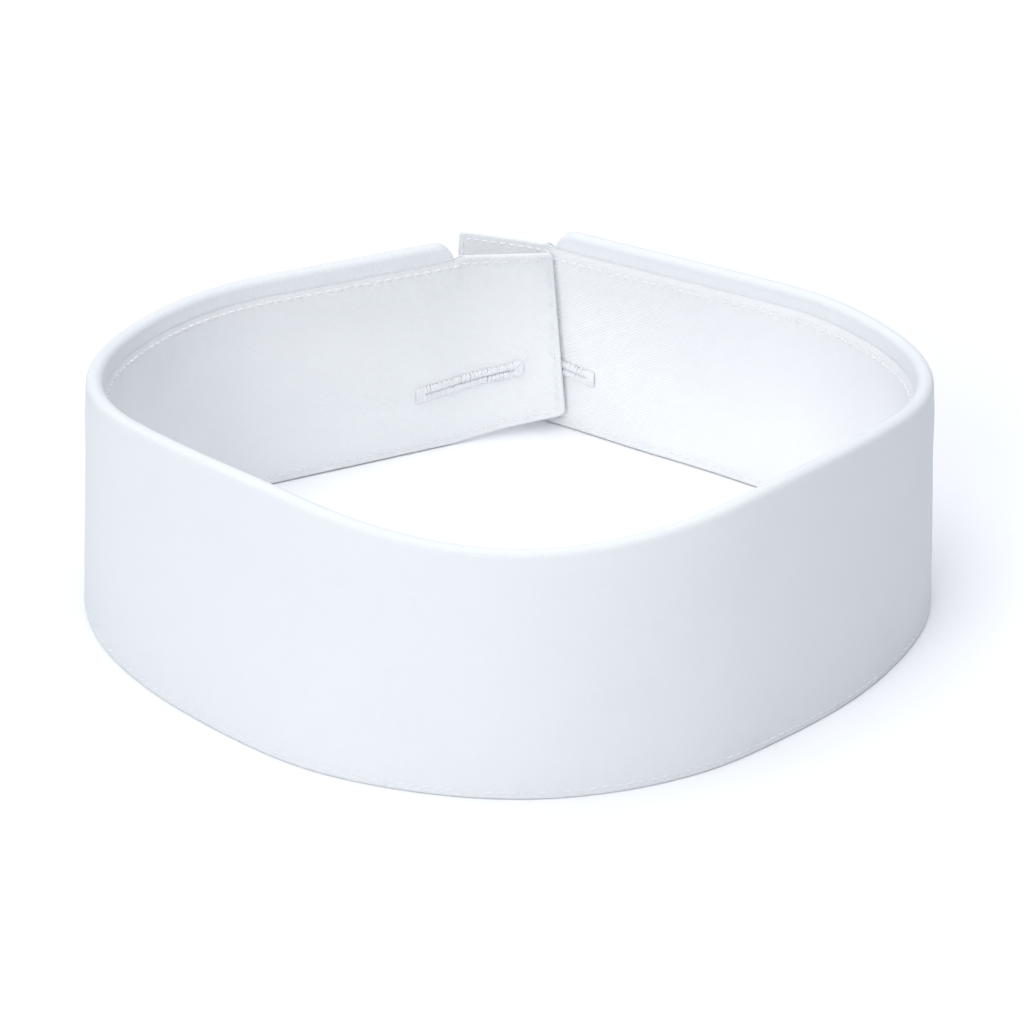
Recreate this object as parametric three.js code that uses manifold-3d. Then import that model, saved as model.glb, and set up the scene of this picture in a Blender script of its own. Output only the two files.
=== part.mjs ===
// Detachable turn-down neckband collar, stiffened cotton, millimetres, +Z up.
// The front (nose) points to -Y and the closure is at +Y. Left and right are as seen from the
// front, with left at -X, which is the wearer's right.
//
// Two things describe every piece. The plan is a line round the neck, measured by s, the distance
// from the front centre along one half. Across that line a piece has a section in (n, z): n runs
// outward from the plan line, z is the height above the resting plane.

import * as THREE from "three";
import { mergeVertices } from "three/addons/utils/BufferGeometryUtils.js";
import Module from "manifold-3d";

const wasm = await Module();
wasm.setup();

// ---------- driving dimensions ----------

// plan of the closed collar: nose, cheek and side bends are arcs, the run to the back is straight
const noseRadius = 49.0;
const noseAngle = 41.7;
const cheekRadius = 125.0;
const cheekAngle = 18.9;
const sideRadius = 50.3;

// Each half has its own plan towards the back and its own tab, the free end of the stand past the
// leaf: its end leans back by tabSlant, and it narrows by topDrop and bottomRise. cheekFlare is how
// far the leaf's hem stands off at the cheek, holeFromEnd how far the stitched hole is from the end.
const halves = {
  left: {
    sign: -1,
    sideAngle: 91.7,
    run: 33.8,
    backHeight: 36.2,
    cheekFlare: 2.0,
    tabLength: 20.5,
    tabBend: 20.5,
    tabSlant: 3.0,
    topDrop: 1.95,
    bottomRise: 2.8,
    holeFromEnd: 7.8,
  },
  right: {
    sign: 1,
    sideAngle: 79.7,
    run: 47.0,
    backHeight: 34.6,
    cheekFlare: 0.9,
    tabLength: 21.3,
    tabBend: 9.0,
    tabSlant: 2.2,
    topDrop: 1.35,
    bottomRise: 2.1,
    holeFromEnd: 10.0,
  },
};
const planInset = 1.3; // the plan line lies this far inside the leaf's outer face
const longestFacet = 8.6; // how far apart the fold lines of the plan may be
const sharpestFold = 9.0; // and how much the plan may turn at one, in degrees

// heights of the roll above the resting plane, and where they are taken along a half (0 to 1)
const noseHeight = 39.5;
const cheek = { at: 0.22, height: 42.7 };
const bend = { at: 0.62, height: 36.8 };
const rollRise = 2.9; // roll above the stand's top edge
const standLift = 0.3; // stand's lower edge above the leaf's
const tabStep = 0.55; // past the leaf the stand's top edge springs up by this much
const tabCorner = 1.2;
const slantLength = 6.0; // part of the tab that takes up the slant
const leafCorner = 3.2; // rounding of the roll at each end of the leaf

// how far the leaf's hem stands off the stand: frontFlare at the front eases into each half's own
// cheekFlare, and that into sideFlare, which holds to the back
const frontFlare = 1.3;
const cheekFlareFrom = 40.0;
const cheekFlareUpTo = 60.0;
const sideFlareFrom = 100.0;
const sideFlare = 0.8;

// cloth
const clothThickness = 0.3;
const interliningThickness = 0.35;
const plyGap = 0.06;
const frontGap = 0.3; // between the two halves of every ply at the front centre
const seamAllowance = 5.5; // depth of the leaf inside the top of the stand
const closingDepth = 2.0; // height over which the stand's plies close up below it
const turnedEdge = 0.6; // an interlining stops short of its cloth's edge
const closingLength = 1.6; // where the stand closes up past the leaf's end

// thread
const threadWidth = 0.35;
const threadRise = 0.18;
const threadSeat = 0.03; // clearance between a thread and its cloth
const topSeamInset = 1.25;
const bottomSeamInset = 1.45;
const endSeamInset = 1.55;
const hemSeamInset = 1.2;
const seamJoinGap = 0.4; // between two seams that meet at a corner

// stud buttonholes
const slitLength = 17.2;
const slitWidth = 0.7;
const lipWidth = 1.15; // stitched lip around the slit
const barLength = 1.6; // extra stitching at each end of the slit
const lipThickness = 0.35;
const holeHeight = 11.4; // centre of the slit above the resting plane
const holeTilt = 5.5; // the slit rises towards the tab's end
const cutDepth = { inside: 1.0, outside: 2.5 }; // the cut reaches past the stand's two faces

// how finely round things are faceted, and the smallest sizes the shapes are told apart by
const bendSteps = 4; // flats over the roll
const holeEndSteps = 4; // flats on the half round at the end of a hole
const leafCornerStops = [1, 1 / 3, 1 / 12]; // sections on a rounded corner, as parts of its radius
const tabCornerStops = [1, 0.7, 0.3];
const nearestSections = 0.2; // no section closer than this to the end of a body
const weldDistance = 1e-4; // corners closer than this are one corner
const foldSliver = 1e-3; // width of the strip left where a flat outline is folded

const colours = {
  outer: "#f0f3fb",
  under: "#e6eaf5",
  twill: "#e4eaf7",
  interlining: "#dcdfe6",
  thread: "#f7f8fd",
};

// ---------- thickness stack, counted outward from the stand's inner face ----------

const leafThickness = 2 * clothThickness + interliningThickness + 2 * plyGap;
const rollHollow = clothThickness + 2 * plyGap;
const standInner = clothThickness + plyGap + interliningThickness + plyGap;
const rollThickness = 2 * leafThickness + rollHollow;
const totalThickness = standInner + rollThickness;
const innerFace = planInset - totalThickness;
const rollCentre = innerFace + standInner + rollThickness / 2;
const rollRadius = rollThickness / 2;

// ---------- plan ----------

function radians(degrees) {
  return (degrees * Math.PI) / 180;
}

// the fold lines of one half: points with their outward normals, listed from the front centre
function makePlan(half) {
  const legs = [
    { length: noseRadius * radians(noseAngle), turn: radians(noseAngle) },
    { length: cheekRadius * radians(cheekAngle), turn: radians(cheekAngle) },
    { length: sideRadius * radians(half.sideAngle), turn: radians(half.sideAngle) },
    { length: half.run, turn: 0 },
    { length: half.tabLength - slantLength, turn: radians(half.tabBend) },
    { length: slantLength, turn: 0 },
  ];
  const folds = [];
  let x = 0;
  let y = 0;
  let s = 0;
  let heading = 0;
  const add = () => {
    folds.push({ s, x, y, nx: Math.sin(heading), ny: -Math.cos(heading) });
  };
  add();
  for (const leg of legs) {
    const folded = Math.ceil(leg.turn / radians(sharpestFold));
    const count = Math.max(Math.ceil(leg.length / longestFacet), folded);
    for (let i = 0; i < count; i += 1) {
      const turn = leg.turn / count;
      const step = leg.length / count;
      const chord = turn > 0 ? (2 * step * Math.sin(turn / 2)) / turn : step;
      x += chord * Math.cos(heading + turn / 2);
      y += chord * Math.sin(heading + turn / 2);
      heading += turn;
      s += step;
      add();
    }
  }
  return folds;
}

for (const half of Object.values(halves)) {
  half.folds = makePlan(half);
  half.end = half.folds.at(-1).s;
  half.leafEnd = half.end - half.tabLength;
  half.rollHeights = [
    { at: 0, height: noseHeight },
    cheek,
    bend,
    { at: 1, height: half.backHeight },
  ];
}

// a point of the collar, from its distance round the half, its place across and its height
function place(half, s, n, z) {
  const intoSlant = Math.max(0, s - (half.end - slantLength)) / slantLength;
  const at = s - half.tabSlant * intoSlant * (z / half.backHeight);
  const folds = half.folds;
  let i = 0;
  while (i < folds.length - 2 && folds[i + 1].s < at) {
    i += 1;
  }
  const a = folds[i];
  const b = folds[i + 1];
  const t = (at - a.s) / (b.s - a.s);
  const x = (1 - t) * (a.x + n * a.nx) + t * (b.x + n * b.nx);
  const y = (1 - t) * (a.y + n * a.ny) + t * (b.y + n * b.ny);
  return [half.sign * x, y, z];
}

// ---------- heights ----------

function smooth(t) {
  const u = Math.min(1, Math.max(0, t));
  return u * u * (3 - 2 * u);
}

function rollTop(half, s) {
  const f = s / half.end;
  const heights = half.rollHeights;
  let k = 0;
  while (k < heights.length - 2 && heights[k + 1].at < f) {
    k += 1;
  }
  const a = heights[k];
  const b = heights[k + 1];
  return a.height + (b.height - a.height) * smooth((f - a.at) / (b.at - a.at));
}

// how far a rounded corner cuts in at distance s, for a corner of radius r that ends at `end`
function cornerCut(s, end, r) {
  const into = Math.max(0, s - (end - r));
  return r - Math.sqrt(Math.max(0, r * r - into * into));
}

// 0 along the leaf, 1 at the tab's end
function intoTab(half, s) {
  return Math.max(0, s - half.leafEnd) / half.tabLength;
}

// 0 along the leaf, 1 from where the stand has closed up past it
function pastLeaf(half, s) {
  return Math.min(1, Math.max(0, s - half.leafEnd) / closingLength);
}

function standTop(half, s, inset = 0) {
  const drop = half.topDrop * intoTab(half, s) + cornerCut(s, half.end, tabCorner);
  return rollTop(half, s) - rollRise + tabStep * pastLeaf(half, s) - drop - inset;
}

function standBottom(half, s, inset = 0) {
  const rise = half.bottomRise * intoTab(half, s) + cornerCut(s, half.end, tabCorner);
  return standLift + rise + inset;
}

// how far the leaf's hem stands off the stand at distance s
function flareOf(half, s) {
  const toCheek = smooth(s / cheekFlareFrom);
  const toSide = smooth((s - cheekFlareUpTo) / (sideFlareFrom - cheekFlareUpTo));
  const atCheek = frontFlare + (half.cheekFlare - frontFlare) * toCheek;
  return atCheek + (sideFlare - atCheek) * toSide;
}

// ---------- bodies ----------

// A body swept along a half. pairsAt(s) gives the section as pairs of points [n, z], one on each
// face of the ply, listed from one edge of the ply to the other. Both faces are folded along the
// same diagonals, so plies that lie inside each other stay parallel.
function sweep(half, from, to, pairsAt, extra = []) {
  const within = (s) => s > from + nearestSections && s < to - nearestSections;
  const stops = half.folds.map((fold) => fold.s).filter(within);
  const inside = extra.filter((s) => s > from && s < to);
  const sections = [...new Set([from, to, ...stops, ...inside])].sort((p, q) => p - q);
  const positions = [];
  const index = [];
  let m = 0;
  for (const s of sections) {
    const pairs = pairsAt(s);
    m = pairs.length;
    const loop = [...pairs.map((pair) => pair[0]), ...pairs.map((pair) => pair[1]).reverse()];
    for (const [n, z] of loop) {
      positions.push(...place(half, s, n, z));
    }
  }
  const count = 2 * m;
  for (let k = 0; k < sections.length - 1; k += 1) {
    for (let i = 0; i < count; i += 1) {
      const j = (i + 1) % count;
      const a = k * count + i;
      const b = k * count + j;
      if (i < m) {
        index.push(a, b, b + count, a, b + count, a + count);
      } else {
        index.push(a, b, a + count, b, b + count, a + count);
      }
    }
  }
  const last = (sections.length - 1) * count;
  for (let i = 0; i < m - 1; i += 1) {
    const far = count - 1 - i;
    index.push(i, far, far - 1, i, far - 1, i + 1);
    index.push(last + i, last + far - 1, last + far, last + i, last + i + 1, last + far - 1);
  }
  return outward(positions, index);
}

// a geometry whose faces point out, whichever way its section was listed
function outward(positions, index) {
  let volume = 0;
  const at = (i) => new THREE.Vector3().fromArray(positions, 3 * i);
  for (let t = 0; t < index.length; t += 3) {
    volume += at(index[t]).dot(at(index[t + 1]).cross(at(index[t + 2])));
  }
  if (volume < 0) {
    for (let t = 0; t < index.length; t += 3) {
      [index[t + 1], index[t + 2]] = [index[t + 2], index[t + 1]];
    }
  }
  const geometry = new THREE.BufferGeometry();
  geometry.setAttribute("position", new THREE.Float32BufferAttribute(positions, 3));
  geometry.setIndex(index);
  return geometry;
}

function toSolid(geometry) {
  const bare = geometry.clone();
  bare.deleteAttribute("normal");
  bare.deleteAttribute("uv");
  const merged = mergeVertices(bare, weldDistance);
  return new wasm.Manifold(
    new wasm.Mesh({
      numProp: 3,
      vertProperties: new Float32Array(merged.attributes.position.array),
      triVerts: new Uint32Array(merged.index.array),
    }),
  );
}

function toGeometry(solid) {
  const mesh = solid.getMesh();
  const geometry = new THREE.BufferGeometry();
  geometry.setAttribute("position", new THREE.BufferAttribute(mesh.vertProperties, 3));
  geometry.setIndex(new THREE.BufferAttribute(mesh.triVerts, 1));
  return geometry;
}

// ---------- leaf plies: over the roll from the seam to the hem ----------

// One ply of the leaf. depth is how far its outer face lies inside the leaf's outer face,
// seamUp and hemUp are how far it stops short of the leaf's edge in the seam and at the hem.
function leafPly(half, depth, thickness, seamUp, hemUp) {
  const outer = rollRadius - depth;
  const inner = outer - thickness;
  const pairsAt = (s) => {
    const centre = rollTop(half, s) - rollRadius - cornerCut(s, half.leafEnd, leafCorner);
    const seamEnd = standTop(half, s) - seamAllowance + seamUp;
    const pairs = [[[rollCentre - outer, seamEnd], [rollCentre - inner, seamEnd]]];
    for (let i = 0; i <= bendSteps; i += 1) {
      const angle = Math.PI * (1 - i / bendSteps);
      const c = Math.cos(angle);
      const d = Math.sin(angle);
      pairs.push([
        [rollCentre + outer * c, centre + outer * d],
        [rollCentre + inner * c, centre + inner * d],
      ]);
    }
    const hem = rollCentre + flareOf(half, s);
    pairs.push([[hem + outer, hemUp], [hem + inner, hemUp]]);
    return pairs;
  };
  const corner = leafCornerStops.map((part) => half.leafEnd - leafCorner * part);
  return sweep(half, frontGap / 2, half.leafEnd, pairsAt, corner);
}

const underDepth = clothThickness + plyGap + interliningThickness + plyGap;

const leafOuter = (half) => leafPly(half, 0, clothThickness, 0, 0);
const leafInterlining = (half) =>
  leafPly(half, clothThickness + plyGap, interliningThickness, turnedEdge, turnedEdge);
const leafUnder = (half) => leafPly(half, underDepth, clothThickness, 0, turnedEdge / 2);

// ---------- stand plies ----------

function standStops(half) {
  const corner = tabCornerStops.map((part) => half.end - tabCorner * part);
  return [half.leafEnd + closingLength, half.end - slantLength, ...corner];
}

// a flat ply of the stand, between two faces measured outward from the stand's inner face
function flatPly(half, from, to, inset) {
  const near = innerFace + from;
  const far = innerFace + to;
  const pairsAt = (s) => [
    [[near, standBottom(half, s, inset)], [far, standBottom(half, s, inset)]],
    [[near, standTop(half, s, inset)], [far, standTop(half, s, inset)]],
  ];
  return sweep(half, frontGap / 2, half.end - inset, pairsAt, standStops(half));
}

const standInnerPly = (half) => flatPly(half, 0, clothThickness, 0);
const standInterlining = (half) => {
  const from = clothThickness + plyGap;
  return flatPly(half, from, from + interliningThickness, turnedEdge);
};

// the outer ply steps out over the leaf's seam allowance and lies flat again on the tab
function standOuterPly(half) {
  const flat = innerFace + standInner;
  const stepped = rollCentre - clothThickness / 2;
  const pairsAt = (s) => {
    const onTab = pastLeaf(half, s);
    const high = stepped + (flat - stepped) * onTab;
    const underLeaf = rollTop(half, s) - rollRadius - leafCorner - plyGap;
    const top = underLeaf + (standTop(half, s) - underLeaf) * onTab;
    const seam = standTop(half, s) - seamAllowance;
    const levels = [
      [flat, standBottom(half, s)],
      [flat, seam - closingDepth - plyGap],
      [high, seam - plyGap],
      [high, top],
    ];
    return levels.map(([n, z]) => [[n, z], [n + clothThickness, z]]);
  };
  return sweep(half, frontGap / 2, half.end, pairsAt, standStops(half));
}

// ---------- seams: each row of stitching is one raised line of thread ----------

function seamRow(half, from, to, face, heightAt, extra = []) {
  const outwards = face > 0 ? 1 : -1;
  const near = face + outwards * threadSeat;
  const far = near + outwards * threadRise;
  const pairsAt = (s) => {
    const z = heightAt(s);
    return [
      [[near, z - threadWidth / 2], [far, z - threadWidth / 2]],
      [[near, z + threadWidth / 2], [far, z + threadWidth / 2]],
    ];
  };
  return sweep(half, from, to, pairsAt, extra);
}

function topSeam(half) {
  const height = (s) => standTop(half, s, topSeamInset);
  const to = half.end - endSeamInset - seamJoinGap;
  return seamRow(half, frontGap / 2, to, innerFace, height, standStops(half));
}

function bottomSeam(half) {
  const height = (s) => standBottom(half, s, bottomSeamInset);
  const to = half.end - endSeamInset - seamJoinGap;
  return seamRow(half, frontGap / 2, to, innerFace, height, standStops(half));
}

// a row that runs up the end of the stand or of the leaf
function endRow(half, s, face, faceFlare, low, high) {
  const outwards = face > 0 ? 1 : -1;
  const pairsAt = (at) => {
    const levels = [low, high];
    return levels.map((z) => {
      const near = face + faceFlare(z) + outwards * threadSeat;
      return [[near, z], [near + outwards * threadRise, z]];
    });
  };
  return sweep(half, s - threadWidth / 2, s + threadWidth / 2, pairsAt);
}

function standEndSeam(half) {
  const s = half.end - endSeamInset;
  const low = standBottom(half, s, bottomSeamInset);
  const high = standTop(half, s, topSeamInset);
  return endRow(half, s, innerFace, () => 0, low, high);
}

// how far the leaf's outer face stands off the roll's, at a height near the hem
function flareAt(half, s, z) {
  const straight = rollTop(half, s) - rollRadius;
  return flareOf(half, s) * (1 - z / straight);
}

const leafFace = rollCentre + rollRadius;

function hemSeam(half) {
  const to = half.leafEnd - endSeamInset - seamJoinGap;
  const pairsAt = (s) =>
    [-0.5, 0.5].map((side) => {
      const z = hemSeamInset + side * threadWidth;
      const near = leafFace + flareAt(half, s, z) + threadSeat;
      return [[near, z], [near + threadRise, z]];
    });
  return sweep(half, frontGap / 2, to, pairsAt);
}

function leafEndSeam(half) {
  const s = half.leafEnd - endSeamInset;
  const high = rollTop(half, s) - rollRadius - seamJoinGap;
  return endRow(half, s, leafFace, (z) => flareAt(half, s, z), hemSeamInset, high);
}

// ---------- buttonholes ----------

// a slot shape with round ends, centred on the origin
function slotShape(length, width) {
  const r = width / 2;
  const x = length / 2 - r;
  const shape = new THREE.Shape();
  shape.moveTo(-x, -r);
  shape.lineTo(x, -r);
  shape.absarc(x, 0, r, -Math.PI / 2, Math.PI / 2, false);
  shape.lineTo(-x, r);
  shape.absarc(-x, 0, r, Math.PI / 2, (3 * Math.PI) / 2, false);
  return shape;
}

// The band of cloth that carries the hole is followed facet by facet: the outline is drawn flat,
// cut into short strips and each strip is laid on the stand.
function slotOnStand(half, length, width, near, far, hole) {
  const centre = half.end - half.holeFromEnd - barLength - slitLength / 2;
  const tilt = Math.tan(radians(holeTilt));
  const shape = slotShape(length, width);
  if (hole) {
    shape.holes.push(slotShape(hole.length, hole.width));
  }
  const flat = { depth: 1, bevelEnabled: false, curveSegments: holeEndSteps };
  let solid = toSolid(new THREE.ExtrudeGeometry(shape, flat));
  const cuts = half.folds.map((fold) => fold.s - centre).filter((x) => Math.abs(x) < length / 2);
  for (const x of cuts) {
    solid = splitAlong(solid, x, width);
  }
  const geometry = toGeometry(solid);
  const points = geometry.attributes.position;
  for (let i = 0; i < points.count; i += 1) {
    const x = points.getX(i);
    const n = near + (far - near) * points.getZ(i);
    const z = holeHeight + points.getY(i) + tilt * x;
    points.setXYZ(i, ...place(half, centre + x, n, z));
  }
  return outward(Array.from(points.array), Array.from(geometry.index.array));
}

// adds an edge loop at x to an outline of this width and a depth of 1, so it can be folded there
function splitAlong(solid, x, width) {
  const knife = new THREE.BoxGeometry(foldSliver, 2 * width, 2);
  knife.translate(x, 0, 1 / 2);
  const blade = toSolid(knife);
  const thin = solid.intersect(blade);
  return solid.subtract(blade).add(thin);
}

const stitchedLength = slitLength + 2 * barLength;
const slit = { length: slitLength, width: slitWidth };

function cutHole(half, geometry) {
  const near = innerFace - cutDepth.inside;
  const far = innerFace + cutDepth.outside;
  const cutter = slotOnStand(half, slitLength, slitWidth, near, far);
  return toGeometry(toSolid(geometry).subtract(toSolid(cutter)));
}

function buttonholeStitching(half) {
  const near = innerFace - threadSeat - lipThickness;
  const far = innerFace - threadSeat;
  return slotOnStand(half, stitchedLength, slitWidth + 2 * lipWidth, near, far, slit);
}

// ---------- assembly ----------

const pieces = [
  ["leaf_outer_cloth", leafOuter, "outer"],
  ["leaf_interlining", leafInterlining, "interlining"],
  ["leaf_under_cloth", leafUnder, "under"],
  ["stand_inner_cloth", (half) => cutHole(half, standInnerPly(half)), "twill"],
  ["stand_interlining", (half) => cutHole(half, standInterlining(half)), "interlining"],
  ["stand_outer_cloth", (half) => cutHole(half, standOuterPly(half)), "under"],
  ["stand_top_seam", topSeam, "thread"],
  ["stand_bottom_seam", bottomSeam, "thread"],
  ["stand_end_seam", standEndSeam, "thread"],
  ["leaf_hem_seam", hemSeam, "thread"],
  ["leaf_end_seam", leafEndSeam, "thread"],
  ["buttonhole_stitching", buttonholeStitching, "thread"],
];

const group = new THREE.Group();

for (const [name, build, colour] of pieces) {
  for (const [side, half] of Object.entries(halves)) {
    const material = new THREE.MeshStandardMaterial({
      color: colours[colour],
      roughness: 0.9,
      metalness: 0,
    });
    const mesh = new THREE.Mesh(build(half), material);
    mesh.name = `${name}_${side}`;
    group.add(mesh);
  }
}

// the origin is the centre of the base of the whole collar
const box = new THREE.Box3().setFromObject(group);
const centre = box.getCenter(new THREE.Vector3());
group.position.set(-centre.x, -centre.y, -box.min.z);

export default group;
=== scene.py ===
import math

import bmesh
import bpy
import numpy as np
from mathutils import Matrix, Vector


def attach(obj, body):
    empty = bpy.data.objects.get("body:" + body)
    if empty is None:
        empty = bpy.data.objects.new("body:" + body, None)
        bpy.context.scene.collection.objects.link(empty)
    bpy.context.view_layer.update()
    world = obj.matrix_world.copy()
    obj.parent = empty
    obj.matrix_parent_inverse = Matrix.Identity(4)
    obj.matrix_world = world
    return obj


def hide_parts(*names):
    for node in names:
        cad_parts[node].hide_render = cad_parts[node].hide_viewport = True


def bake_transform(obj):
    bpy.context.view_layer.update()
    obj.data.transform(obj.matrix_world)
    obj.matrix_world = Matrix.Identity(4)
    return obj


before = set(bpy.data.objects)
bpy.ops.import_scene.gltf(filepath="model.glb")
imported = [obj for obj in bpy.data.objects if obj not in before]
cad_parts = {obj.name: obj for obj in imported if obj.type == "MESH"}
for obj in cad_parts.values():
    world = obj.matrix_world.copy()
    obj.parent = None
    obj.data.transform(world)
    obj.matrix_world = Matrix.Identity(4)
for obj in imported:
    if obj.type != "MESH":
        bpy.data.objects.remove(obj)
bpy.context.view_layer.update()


# ---------- camera ----------
# A long lens just under a metre away, raised some 24 degrees and turned two degrees to the left
# of the collar's front, so that the whole ring shows with the closure behind it.

camera = bpy.data.objects.new("camera", bpy.data.cameras.new("camera"))
bpy.context.scene.collection.objects.link(camera)
camera.data.sensor_width = 36.0
camera.data.lens = 202.4
camera.location = (-0.02712, -0.83107, 0.38949)
camera_roll = math.radians(0.46)
sight = Vector((0.00194, 0.04063, -0.00609)) - camera.location
turned = sight.to_track_quat("-Z", "Y").to_matrix() @ Matrix.Rotation(camera_roll, 3, "Z")
camera.rotation_euler = turned.to_euler()
bpy.context.scene.camera = camera


# ---------- floor and studio light ----------
# A plain pale sweep of matt card under white soft boxes: a wide one overhead that keeps the card
# bright, and a key to the front left. The room is darker to the right, so that the right cheek
# and the left inside fall off softly.

def to_linear(hex_colour):
    """An sRGB hex colour as the linear RGBA that shaders take."""
    channels = [int(hex_colour[i:i + 2], 16) / 255 for i in (1, 3, 5)]
    linear = [c / 12.92 if c <= 0.04045 else ((c + 0.055) / 1.055) ** 2.4 for c in channels]
    return (*linear, 1.0)


def add_node(tree, kind, settings=None, links=None):
    """A node in a material, with its settings, and its inputs set or linked by name or place."""
    node = tree.nodes.new("ShaderNode" + kind)
    for key, value in (settings or {}).items():
        setattr(node, key, value)
    for key, value in (links or {}).items():
        if isinstance(value, bpy.types.NodeSocket):
            tree.links.new(value, node.inputs[key])
        else:
            node.inputs[key].default_value = value
    return node


def new_material(name):
    material = bpy.data.materials.new(name)
    material.use_nodes = True
    material.node_tree.nodes.clear()
    return material, material.node_tree


bpy.context.scene.view_settings.view_transform = "Standard"

# matt white card: even, with only the faintest mottle
card, tree = new_material("matt_white_card")
place_on_card = add_node(tree, "TexCoord").outputs["Object"]
mottle = add_node(tree, "TexNoise", links={"Vector": place_on_card, "Scale": 4.0})
tone = add_node(tree, "MixRGB", links={
    "Fac": mottle.outputs["Fac"], 1: to_linear("#fafbfd"), 2: to_linear("#fdfdff")})
shader = add_node(tree, "BsdfPrincipled", links={"Base Color": tone.outputs[0], "Roughness": 0.9})
add_node(tree, "OutputMaterial", links={"Surface": shader.outputs[0]})

floor_half = 3.0
floor_mesh = bpy.data.meshes.new("floor_card")
corners = [(-1, -1), (1, -1), (1, 1), (-1, 1)]
floor_mesh.from_pydata([(floor_half * x, floor_half * y, 0) for x, y in corners], [], [range(4)])
floor_mesh.materials.append(card)
floor_card = bpy.data.objects.new("floor_card", floor_mesh)
bpy.context.scene.collection.objects.link(floor_card)

world = bpy.data.worlds.new("studio")
bpy.context.scene.world = world
world.use_nodes = True
tree = world.node_tree
way = add_node(tree, "TexCoord").outputs["Generated"]
direction = add_node(tree, "SeparateXYZ", links={0: way})
shade = add_node(tree, "MapRange", links={
    "Value": direction.outputs[0], "From Min": -0.3, "From Max": 0.9,
    "To Min": 0.36, "To Max": 0.15})
far_left = add_node(tree, "MapRange", links={
    "Value": direction.outputs[0], "From Min": -1.0, "From Max": -0.35,
    "To Min": 0.55, "To Max": 1.0})
strength = add_node(tree, "Math", {"operation": "MULTIPLY"},
                    {0: shade.outputs[0], 1: far_left.outputs[0]})
background = tree.nodes["Background"]
background.inputs["Color"].default_value = to_linear("#e2ebfa")
tree.links.new(strength.outputs[0], background.inputs["Strength"])


def soft_box(name, where, aim, size, watts, colour):
    lamp = bpy.data.lights.new(name, "AREA")
    lamp.shape = "RECTANGLE"
    lamp.size, lamp.size_y = size
    lamp.energy = watts
    lamp.color = to_linear(colour)[:3]
    box = bpy.data.objects.new(name, lamp)
    box.location = where
    box.rotation_euler = (Vector(aim) - Vector(where)).to_track_quat("-Z", "Y").to_euler()
    bpy.context.scene.collection.objects.link(box)


soft_box("overhead", (0.0, 0.1, 1.5), (0, 0, 0), (2.2, 2.2), 28.0, "#fdfdff")
soft_box("key", (-0.75, -1.5, 0.95), (0, 0, 0.02), (1.0, 1.0), 14.0, "#fffdfa")


# ---------- the neck line ----------
# A collar is cut flat and takes its shape on the block: nose, cheek and side are soft bends and
# the rest runs straight to the back. Every ply follows this one line, measured by s in mm from
# the front centre, to the right above zero and to the left below. Across it n runs outward.

nose = (49.0, 41.7)  # radius in mm and turn in degrees
cheek = (125.0, 18.9)
side_radius = 50.3
left = {"side": 91.7, "run": 33.8, "tab_bend": 20.5, "back_height": 36.2}
left.update(tab=20.5, slant=3.0, top_drop=1.95, bottom_rise=2.8, flare=2.0, hole_from_end=7.8)
right = {"side": 79.7, "run": 47.0, "tab_bend": 9.0, "back_height": 34.6}
right.update(tab=21.3, slant=2.2, top_drop=1.35, bottom_rise=2.1, flare=0.9, hole_from_end=10.0)
slant_length = 6.0
front_centre = (-0.030, -72.982)
bend_blend = 9.0  # length over which one bend eases into the next
plan_step = 0.25


def lay_plan(half):
    """Tables of x, y and heading along one half, with the bends eased into each other."""
    legs = [(nose[0] * math.radians(nose[1]), nose[1])]
    legs.append((cheek[0] * math.radians(cheek[1]), cheek[1]))
    legs.append((side_radius * math.radians(half["side"]), half["side"]))
    legs.append((half["run"], 0.0))
    legs.append((half["tab"] - slant_length, half["tab_bend"]))
    legs.append((slant_length, 0.0))
    half["end"] = sum(length for length, _ in legs)
    half["leaf_end"] = half["end"] - half["tab"]
    at = np.arange(0.0, half["end"] + 2 * plan_step, plan_step)
    bend = np.zeros_like(at)
    start = 0.0
    for length, degrees in legs:
        bend[(at >= start) & (at < start + length)] = math.radians(degrees) / length
        start += length
    reach = int(bend_blend / 2 / plan_step)
    window = np.hanning(2 * reach + 3)[1:-1]
    padded = np.concatenate([bend[reach:0:-1], bend, np.zeros(reach)])
    eased = np.convolve(padded, window / window.sum(), "valid")
    heading = np.concatenate([[0.0], np.cumsum((eased[1:] + eased[:-1]) / 2) * plan_step])
    middle = (heading[1:] + heading[:-1]) / 2
    half["at"] = at
    half["heading"] = heading
    half["x"] = np.concatenate([[0.0], np.cumsum(np.cos(middle)) * plan_step])
    half["y"] = np.concatenate([[0.0], np.cumsum(np.sin(middle)) * plan_step])


lay_plan(left)
lay_plan(right)


def of_half(s, key):
    return np.where(s < 0, left[key], right[key])


def ease(t):
    u = np.clip(t, 0, 1)
    return u * u * (3 - 2 * u)


def swell(s, z):
    """Starched cloth isn't dead true: a few tenths of a millimetre of ease, none at the tabs."""
    wave = 0.14 * np.sin(s / 8.1 + z / 21 + 0.7) + 0.1 * np.sin(s / 5.3 - z / 13 + 2.1)
    fade = ease((of_half(s, "leaf_end") - 6 - np.abs(s)) / 24)
    return wave * fade * (0.5 + 0.5 * np.cos(z / 15))


# each free end twists a little: how far it springs inward at its bottom and at its top corner
lift_length = 14.0
left.update(low_lift=-0.3, high_lift=-2.3)
right.update(low_lift=-0.25, high_lift=-0.1)


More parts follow.
